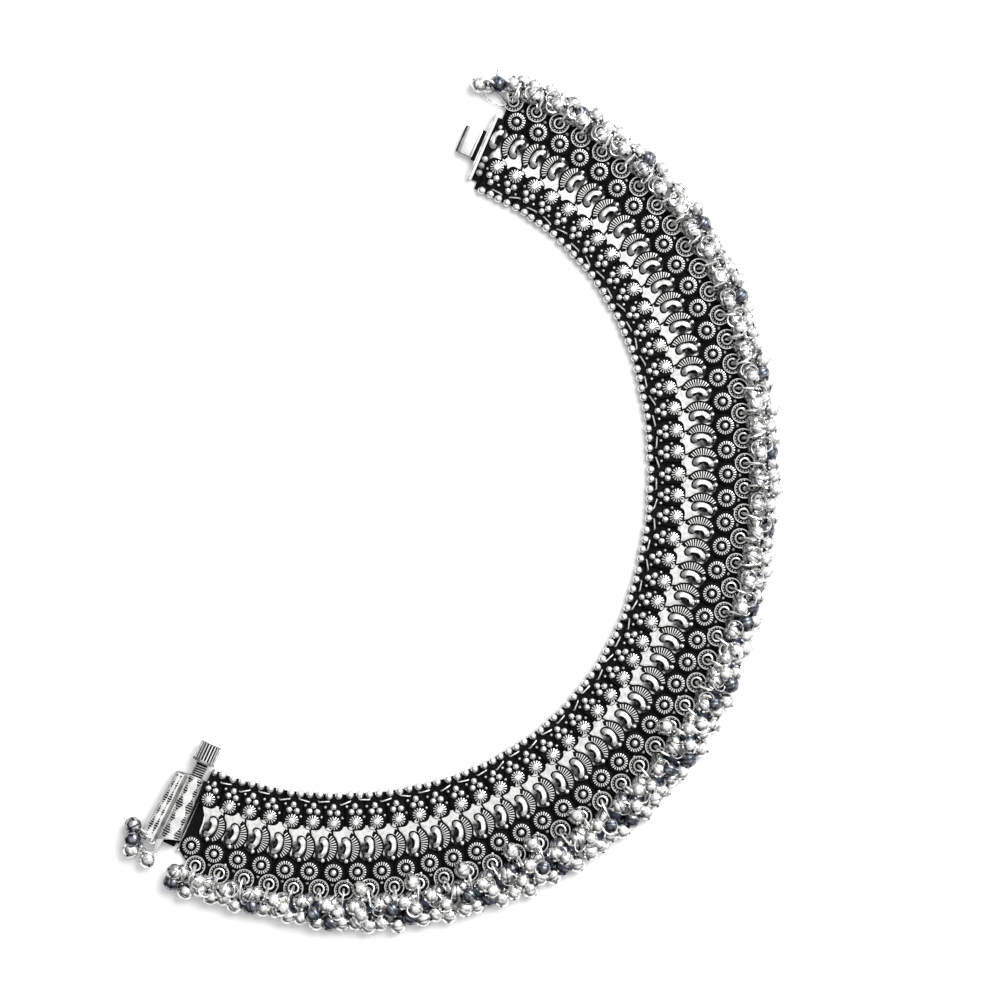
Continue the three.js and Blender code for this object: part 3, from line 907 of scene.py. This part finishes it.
stain(tab, tab_shade)
tongue_pieces.append(tab)
for x, y in KNUCKLES:
    knuckle = grain(x, y, *KNUCKLE)
    stain(knuckle, two_tone(KNUCKLE[0], KNUCKLE_TARNISH))
    tongue_pieces.append(knuckle)
clasp_silver = silver("clasp_silver", (0.93, 0.925, 0.91, 1), (0.74, 0.74, 0.74, 1), (0.003, 0.003, 0.003, 1),
                      gloss=0.24, cloud=500)
tongue = join(tongue_pieces)
tongue.data.transform(link_place(0))
dress(tongue, "tongue", clasp_silver, "band", "clasp_silver", "tongue_bar")

# Clasp box at the lower end. Sheet silver bent into a square-topped barrel for the screw and a flatter lobe
# beside it, with hatched diamonds cut in rows along both, a black block towards the links that paints the
# shade in the gap there, a black block that paints the shade in the barrel's open far end, and a tapered
# strip and a loop at the far end for the last bells. A fine grid wrapped on the section, cut, closed and
# bored.
CLASP = Sizes(x=4.55, y=3.7, turn=math.radians(-4.5))
BARREL = Sizes(mouth=2.0, far=2.62, shift=-0.3, rise=2.2, axis=2.75, length=16.0, slant=0.22)
BARREL_SQUARE = 0.7
BARREL_TURN = Sizes(start=205, sweep=195)  # degrees round the barrel that the sheet covers
BARREL_FOOT = Sizes(width=0.86, spread=0.07, height=1.4)
BORE = Sizes(radius=1.7, depth=13.6, past=1, sides=32)
LOBE = Sizes(mouth=5.0, far=6.3, groove=0.75, inner_end=18, outer_end=16.6, end_blend=1.2)
LOBE_START = Sizes(back=0.8, start=1.5, over=1.5)
LOBE_HEIGHT = Sizes(barrel=3.4, inner=3.3, outer=3.15, groove=0.75, crown=0.3, bulge=0.12)
SECTION = (  # parts of the section, and the share of the way round at which each ends
    ("foot", 0.06), ("barrel", 0.5), ("groove", 0.56), ("lobe", 0.86), ("side", 0.92), ("floor", 1),
)
COVER = Sizes(columns=124, rows=200, floor=0.06, plain_end=0.01, merge=0.002)
COVER_DARK = Sizes(foot=0.1, side=0.88, groove=(0.495, 0.555), groove_tone=0.5)
DIAMONDS = (  # y of the middle, half length, share of the full width
    (0.1, 2.1, 1), (3.62, 1.4, 0.62), (7.25, 2.3, 1), (10.87, 1.45, 0.62), (14.5, 2.3, 1),
)
DIAMOND_WIDTH = {"barrel": 0.9, "lobe": 0.46}
DIAMOND_PLACE = {"barrel": (-0.62, 0.52), "lobe": (0.27, 0.68)}
ENGRAVED = {"barrel": (0.1, 0.49), "lobe": (0.56, 0.86)}
HATCH = Sizes(pitch=0.6, cut=0.39, depth=0.14)
# The next two blocks are black and paint shade: the first in the gap between the barrel and the links, the
# second in the barrel's open far end.
GAP_SHADE = (-2.9, -1.7, 0.1, 16.3, 0.15, 2.2, 0.15, 1)  # as the blocks of the tongue
END_SHADE = (-2.2, 0.8, 15.6, 17.5, 0.2, 1.5, 0.2, 1)
STRIP = Sizes(left=0.7, right=2.5, start=15.4, end=21, bottom=1.5, top=2.7)
STRIP_END = Sizes(narrow=0.5, low=0.7, x=1.8, z=2.05)
STRIP_EDGE = 0.15
STRIP_TARNISH = (2.4, 0.1, 0.9)  # height, tone over it, tone under it
STRIP_EYE = Sizes(place=(1.75, 21.4, 2.05), radius=0.66, wire=0.25, sides=(18, 8), tarnish=0.1)
END_LOOP = Sizes(place=(3.3, 18.3, 2.6), radius=0.75, wire=0.22, sides=(18, 8), tarnish=0.3)
END_LOOP_TIP = 0.5

clasp_place = link_place(LINK_COUNT - 1) @ move((CLASP.x, CLASP.y, 0)) @ spin(CLASP.turn, "Z")


def barrel_at(along):
    """The middle and half width of the barrel, which widens away from its mouth."""
    return BARREL.shift * along, BARREL.mouth + (BARREL.far - BARREL.mouth) * along


def lobe_at(along):
    """The inner and outer side of the lobe."""
    middle, half = barrel_at(along)
    return middle + half + LOBE.groove, LOBE.mouth + (LOBE.far - LOBE.mouth) * along


def rounded_square(turn):
    """A point of a circle drawn out towards a square."""
    return tuple(math.copysign(abs(part) ** BARREL_SQUARE, part) for part in (math.cos(turn), math.sin(turn)))


def section_part(share):
    """Which part of the section a share of the way round is in, and how far along that part it is."""
    before = 0
    for name, end in SECTION:
        if share < end or name == "floor":
            return name, (share - before) / (end - before)
        before = end


def cover_section(share, along):
    """A point of the clasp's section, from the barrel's foot over the barrel and lobe and back underneath."""
    middle, half = barrel_at(along)
    inner, outer = lobe_at(along)
    name, part = section_part(share)
    bow = math.sin(math.pi * part)
    if name == "foot":
        return (middle - half * (BARREL_FOOT.width + BARREL_FOOT.spread * part),
                COVER.floor + BARREL_FOOT.height * part)
    if name == "barrel":
        across, up = rounded_square(math.radians(BARREL_TURN.start - BARREL_TURN.sweep * part))
        return middle + half * across, BARREL.axis + BARREL.rise * up
    if name == "groove":
        drop = (LOBE_HEIGHT.barrel - LOBE_HEIGHT.inner) * part + LOBE_HEIGHT.groove * bow
        return middle + half + LOBE.groove * part, LOBE_HEIGHT.barrel - drop
    if name == "lobe":
        drop = (LOBE_HEIGHT.inner - LOBE_HEIGHT.outer) * part ** 4
        return inner + (outer - inner) * part, LOBE_HEIGHT.inner + LOBE_HEIGHT.crown * bow - drop
    if name == "side":
        drop = (LOBE_HEIGHT.outer - COVER.floor) * part
        return outer + LOBE_HEIGHT.bulge * bow, LOBE_HEIGHT.outer - drop
    return outer - (outer - middle + BARREL_FOOT.width * half) * part, COVER.floor


def cover_end(x, inner, outer):
    """Where the clasp ends, which is further out at the inner side of the lobe."""
    if x < inner:
        barrel_end = BARREL.length + BARREL.slant * x
        return barrel_end + (LOBE.inner_end - barrel_end) * max(0, 1 - (inner - x) / LOBE.end_blend)
    return LOBE.inner_end + (LOBE.outer_end - LOBE.inner_end) * (x - inner) / (outer - inner)


def is_hatched(x, y, middles, width):
    """Whether a point lies in the hatching of one of the diamonds along these lines."""
    for row, half_length, share in DIAMONDS:
        for middle in middles:
            if abs(x - middle) / (width * share) + abs(y - row) / half_length < 1:
                return y % HATCH.pitch < HATCH.cut
    return False


def is_engraved(share, x, y, along):
    """Whether the clasp is cut by its pattern at a point."""
    middle, half = barrel_at(along)
    inner, outer = lobe_at(along)
    for name, start, width in (("barrel", middle, half), ("lobe", inner, outer - inner)):
        if ENGRAVED[name][0] < share < ENGRAVED[name][1]:
            lines = [start + width * part for part in DIAMOND_PLACE[name]]
            return is_hatched(x, y, lines, DIAMOND_WIDTH[name])
    return False


def cover_dark(share):
    """How black the plain sheet is, which is black at its foot and sides and dull in the groove."""
    if share < COVER_DARK.foot or share > COVER_DARK.side:
        return 1
    return COVER_DARK.groove_tone if COVER_DARK.groove[0] < share < COVER_DARK.groove[1] else 0


def modify(piece, kind, **traits):
    """Gives the piece in hand a modifier, set up with these traits, and applies it."""
    bpy.ops.object.modifier_add(type=kind)
    modifier = piece.modifiers[-1]
    set_up(modifier, traits)
    bpy.ops.object.modifier_apply(modifier=modifier.name)


cover = begin(bpy.ops.mesh.primitive_grid_add, x_subdivisions=COVER.columns, y_subdivisions=COVER.rows,
              size=1)
cover_marks = marks_of(cover)
for point in cover.data.vertices:
    share = point.co.x + 0.5
    along = point.co.y + 0.5
    x, z = cover_section(share, along)
    start = LOBE_START.back * max(0, min(1, (x - LOBE_START.start) / LOBE_START.over))
    y = start * (1 - along) + cover_end(x, *lobe_at(along)) * along
    is_inside = COVER.plain_end < along < 1 - COVER.plain_end
    is_cut = is_inside and is_engraved(share, x, y, along)
    cover_marks[point.index].value = 1 if is_cut else cover_dark(share)
    point.co = (x, y, z - HATCH.depth if is_cut else z)
open_all()
bpy.ops.mesh.remove_doubles(threshold=COVER.merge)
bpy.ops.mesh.fill_holes(sides=0)
face_outward(cover)
bore = begin(bpy.ops.mesh.primitive_cylinder_add, vertices=BORE.sides, radius=BORE.radius,
             depth=BORE.depth + BORE.past, rotation=(math.pi / 2, 0, 0),
             location=(0, (BORE.depth - BORE.past) / 2, BARREL.axis))
stain(bore, 1)
take(cover)
modify(cover, "BOOLEAN", operation="DIFFERENCE", object=bore)
forget(bore)
gap_shade = marked_block(*GAP_SHADE)
end_shade = marked_block(*END_SHADE)
strip = block(**vars(STRIP))
pick(strip, lambda face: face.normal.y > FACING)
bpy.ops.transform.resize(value=(STRIP_END.narrow, 1, STRIP_END.low),
                         center_override=(STRIP_END.x, STRIP.end, STRIP_END.z))
break_edges(strip, STRIP_EDGE)
stain(strip, two_tone(*STRIP_TARNISH))
strip_eye = ring(STRIP_EYE, STRIP_EYE.place)
stain(strip_eye, STRIP_EYE.tarnish)
end_loop = ring(END_LOOP)
end_loop.data.transform(move(END_LOOP.place) @ spin(END_LOOP_TIP, "X"))
stain(end_loop, END_LOOP.tarnish)
clasp = join([cover, gap_shade, end_shade, strip, strip_eye, end_loop])
clasp.data.transform(clasp_place)
dress(clasp, "clasp", clasp_silver, "band", "clasp_silver", "clasp_box")

# Bells of the clasp. Four bells on three jump rings at the far end of the clasp, two of them dark, lying
# against each other. Copies of the bell and the jump ring of the band.
CLASP_BELLS = (  # x, y, z, tarnish
    (8.9, 16.9, 2.07, 0.5), (7.6, 19.9, 3.4, 0.58), (6.9, 22.5, 2.07, 0.1), (2.3, 23.0, 2.07, 0.1),
)
CLASP_BELLS_TOWARD = (5, 20.3, 2)
CLASP_RINGS = (  # from, to, tip
    ((3.4, 18.3, 2.6), (8, 17.2, 2.6), 0.2), ((4.3, 18.1, 2.8), (7.4, 17.4, 3.2), 0.5),
    ((1.8, 21.4, 2.0), (5.4, 22.7, 2.0), 0.5),
)

clasp_bells = [jump_ring_at(clasp_place, start, end, tip) for start, end, tip in CLASP_RINGS]
for x, y, z, tarnish in CLASP_BELLS:
    clasp_bells.append(bell_at(clasp_place, (x, y, z), CLASP_BELLS_TOWARD, x + y, tarnish))
dress(join(clasp_bells), "clasp_bells_visual", bell_silver, "band", "bell_silver", "clasp_bells")
for model in (bell_model, jump_ring, thin_ring):
    forget(model)

# Thumb screw of the clasp. A turned head with straight ribs, domed ends and a thin flange, on a blackened
# screw thread that runs into the barrel. A cylinder with every second facet drawn out, and a tooth wound
# along the axis.
HEAD = Sizes(x=0, y=0, radius=2.38, start=-8.7, to=-3.9, sides=44, rib=0.36, rib_edge=0.03)
HEAD_STEPS = ((0.22, 0.14), (0.45, 0.14), (0.6, 0.1), (0.55, 0.04))  # step in, step up, at both ends
HEAD_BRIGHT = Sizes(past=0.1, ends=2.45)
FLANGE = Sizes(radius=2.78, width=0.6, sides=48, edge=0.1, tarnish=0.55)
THREAD = Sizes(core=1.25, crest=1.58, pitch=0.58, tip=9.4, sides=24, lap=0.05, merge=0.001)
TOOTH = Sizes(foot=0.8, crest=0.25, crest_tarnish=0.4)
STRAIGHT = 0.1  # a face is on the side of the head when its normal points less than this far along it

head_length = HEAD.to - HEAD.start
head = begin(bpy.ops.mesh.primitive_cylinder_add, vertices=HEAD.sides, radius=HEAD.radius, depth=head_length)
pick(head, lambda face: abs(face.normal.z) > FACING)
draw_in(HEAD_STEPS)
pick(head, lambda face: abs(face.normal.z) < STRAIGHT and is_even_facet(face, HEAD))
bpy.ops.mesh.inset(thickness=HEAD.rib_edge, depth=HEAD.rib, use_individual=True)


def head_patina(point):
    is_rib = reach(point, HEAD) > HEAD.radius + HEAD_BRIGHT.past
    return 0 if is_rib or abs(point.z) > HEAD_BRIGHT.ends else 1


stain(head, head_patina)
flange = begin(bpy.ops.mesh.primitive_cylinder_add, vertices=FLANGE.sides, radius=FLANGE.radius,
               depth=FLANGE.width, location=(0, 0, (FLANGE.width - head_length) / 2))
break_edges(flange, FLANGE.edge)
stain(flange, FLANGE.tarnish)

thread_length = THREAD.tip - HEAD.to
thread_middle = -(head_length + thread_length) / 2
core = begin(bpy.ops.mesh.primitive_cylinder_add, vertices=THREAD.sides, depth=thread_length,
             radius=THREAD.core + THREAD.lap, location=(0, 0, thread_middle))
stain(core, 1)
tooth = begin(bpy.ops.mesh.primitive_plane_add, size=THREAD.pitch * TOOTH.foot,
              location=(THREAD.core, 0, 0), rotation=(math.pi / 2, 0, 0))
for point in tooth.data.vertices:
    is_crest = point.co.x > THREAD.core
    point.co.x = THREAD.crest if is_crest else THREAD.core
    point.co.z *= TOOTH.crest if is_crest else 1
    marks_of(tooth)[point.index].value = TOOTH.crest_tarnish if is_crest else 1
modify(tooth, "SCREW", axis="Z", screw_offset=THREAD.pitch, iterations=int(thread_length / THREAD.pitch),
       steps=THREAD.sides, render_steps=THREAD.sides)
tooth.data.transform(move((0, 0, thread_middle - thread_length / 2)))
open_all()
bpy.ops.mesh.remove_doubles(threshold=THREAD.merge)
face_outward(tooth)
screw = join([head, flange, core, tooth])
screw_axis = move((0, (HEAD.start + HEAD.to) / 2, BARREL.axis)) @ spin(math.pi / 2, "X")
screw.data.transform(clasp_place @ screw_axis)
screw_silver = silver("screw_silver", POLISHED, (0.74, 0.74, 0.74, 1), (0.003, 0.003, 0.003, 1),
                      gloss=0.42, cloud=800)
dress(screw, "screw", screw_silver, "screw", "screw_silver", "clasp_screw")

# Floor, light and camera. A plain white table under a large soft light from the upper right, with a dimmer
# sky on the left, and a long lens straight above.
FLOOR_HALF = 3.0
PAPER = Sizes(scale=60, detail=2, dim=(0.93, 0.93, 0.93, 1), bright=(0.95, 0.95, 0.95, 1))
PAPER_FINISH = {
    "Roughness": 0.9, "Specular IOR Level": 0.1, "Emission Color": (1, 1, 1, 1), "Emission Strength": 0.08,
}
VIEW = Sizes(x=11.509, y=1.01, height=1.2, across=0.24, focus=0.002, sensor=36)
SKY = Sizes(way=(0.42, 0.34, 0.84), limits=(-0.15, 0.86), strengths=(0.05, 1.04), colour=(1, 1, 1, 1))
BACKDROP = (0.97, 0.97, 0.97, 1)
KEY_PLACE = (0.74, 0.7, 1.0)
KEY = {"shape": "DISK", "size": 1.2, "energy": 24.0}

floor = begin(bpy.ops.mesh.primitive_plane_add, size=2 * FLOOR_HALF)
floor.name = "floor"
table = bpy.data.materials.new("white_table")
table.use_nodes = True
tree = table.node_tree
paper = noise(tree, add(tree, "ShaderNodeTexCoord", "Object", {}), PAPER.scale, PAPER.detail)
feed(tree, tree.nodes["Principled BSDF"], {
    "Base Color": mix(tree, paper, PAPER.dim, PAPER.bright), **PAPER_FINISH})
floor.data.materials.append(table)

world = bpy.data.worlds.new("studio")
bpy.context.scene.world = world
world.use_nodes = True
tree = world.node_tree
facing = add(tree, "ShaderNodeVectorMath", "Value", {
    0: add(tree, "ShaderNodeTexCoord", "Generated", {}), 1: Vector(SKY.way).normalized(),
}, operation="DOT_PRODUCT")
sky = tree.nodes["Background"]
feed(tree, sky, {"Strength": ramp(tree, facing, SKY.limits, SKY.strengths, "SMOOTHSTEP"),
                 "Color": SKY.colour})
seen = add(tree, "ShaderNodeMixShader", 0, {
    "Fac": add(tree, "ShaderNodeLightPath", "Is Camera Ray", {}), 1: sky.outputs[0],
    2: add(tree, "ShaderNodeBackground", 0, {"Color": BACKDROP})})
feed(tree, tree.nodes["World Output"], {"Surface": seen})

bpy.ops.object.light_add(type="AREA", location=KEY_PLACE)
key = bpy.context.object
set_up(key.data, KEY)
key.rotation_euler = (-Vector(KEY_PLACE)).to_track_quat("-Z", "Y").to_euler()
key.visible_camera = False

bpy.ops.object.camera_add(location=(VIEW.x * MM, VIEW.y * MM, VIEW.height))
camera = bpy.context.object
camera.data.sensor_width = VIEW.sensor
camera.data.lens = VIEW.sensor * (VIEW.height - VIEW.focus) / VIEW.across
bpy.context.scene.camera = camera
bpy.context.scene.view_settings.view_transform = "Standard"
